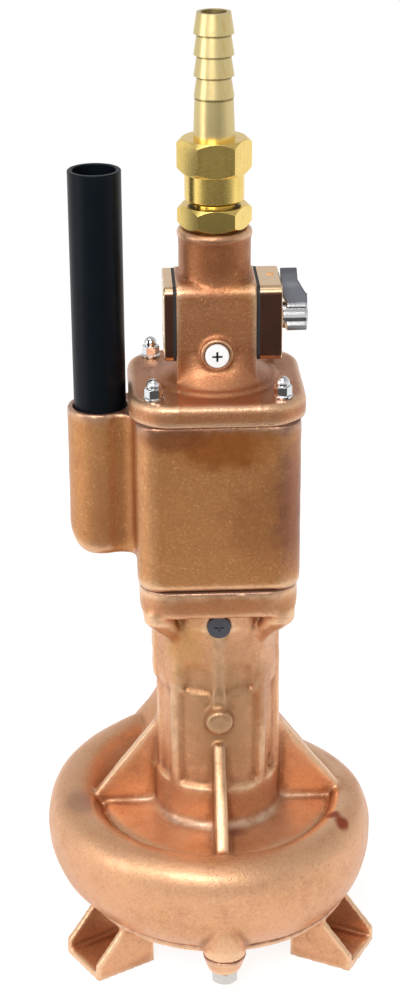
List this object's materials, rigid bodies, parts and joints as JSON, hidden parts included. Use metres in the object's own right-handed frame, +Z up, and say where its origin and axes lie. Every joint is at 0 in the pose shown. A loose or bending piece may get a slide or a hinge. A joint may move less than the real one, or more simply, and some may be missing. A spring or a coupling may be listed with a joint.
{
  "type": "bilge pump",
  "caption": "Air-driven submersible bilge pump: scroll casing on hollow feet, column, square motor housing, valve block with lever, barbed hose tail and upright exhaust pipe.",
  "frame": {"origin": "on the floor, under the middle of the object's box", "axes": "+Z up along the shaft, +X to the side of the throttle lever, +Y to the back, where the discharge port stands"},
  "size_m": [0.1794, 0.2025, 0.5096],
  "materials": {
    "cast_bronze": "as-cast copper-coloured bronze, lightly grained",
    "brass_fittings": "turned yellow brass, bright",
    "plate_brass": "machined bronze plate, smooth",
    "impeller_bronze": "cast and machined bronze",
    "gasket": "black sheet gasket",
    "rubber": "black moulded rubber",
    "chrome_nuts": "polished plating",
    "stainless": "stainless steel",
    "bearing_steel": "ground steel",
    "machined_iron": "machined iron",
    "white_plug": "white",
    "lever_chrome": "grey chrome plating",
    "black_pipe": "black, slightly glossy",
    "vane_resin": "laminated resin",
    "dark_screw": "dark grey, blackened",
    "ceramic": "ceramic",
    "carbon": "carbon"
  },
  "bodies": {
    "root": {"hose_tail": "brass_fittings", "hex_nipple": "brass_fittings", "top_cover": "cast_bronze", "cover_gasket": "gasket", "cover_studs": "stainless", "cover_washers": "chrome_nuts", "cover_cap_nuts": "chrome_nuts", "left_cover_plate": "plate_brass", "left_plate_gasket": "gasket", "left_plate_screws": "stainless", "right_cover_plate": "plate_brass", "right_plate_gasket": "gasket", "right_plate_screws": "stainless", "oil_plug_screw": "white_plug", "oil_plug_washer": "gasket", "motor_housing": "cast_bronze", "exhaust_pipe": "black_pipe", "upper_end_plate": "machined_iron", "motor_cylinder": "machined_iron", "lower_end_plate": "machined_iron", "upper_bearing_outer": "bearing_steel", "lower_bearing_outer": "bearing_steel", "housing_gasket": "gasket", "pump_casing": "cast_bronze", "column_screw": "dark_screw", "column_bearing_outer": "bearing_steel", "seal_seat": "ceramic", "bottom_cover": "cast_bronze", "cover_bolts": "stainless", "strainer_plate": "stainless", "strainer_screws": "stainless"},
    "throttle": {"throttle_plug": "stainless", "spindle_o_ring": "rubber", "throttle_handle": "lever_chrome", "handle_screw": "stainless"},
    "rotor": {"drive_shaft": "stainless", "rotor": "machined_iron", "rotor_vanes": "vane_resin", "rotor_key": "stainless", "upper_bearing_inner": "bearing_steel", "lower_bearing_inner": "bearing_steel", "column_bearing_inner": "bearing_steel", "seal_ring": "carbon", "seal_bellows": "rubber", "impeller": "impeller_bronze", "impeller_key": "stainless", "impeller_nut": "stainless"}
  },
  "joints": [
    {"name": "throttle_turn", "type": "hinge", "parent": "root", "child": "throttle", "pos_m": [0.03626, -0.01125, 0.3575], "axis": [1, 0, 0], "range_deg": [0, 90]},
    {"name": "rotor_spin", "type": "hinge", "parent": "root", "child": "rotor", "pos_m": [0.00376, -0.01125, 0.106], "axis": [0, 0, 1], "continuous": true}
  ]
}
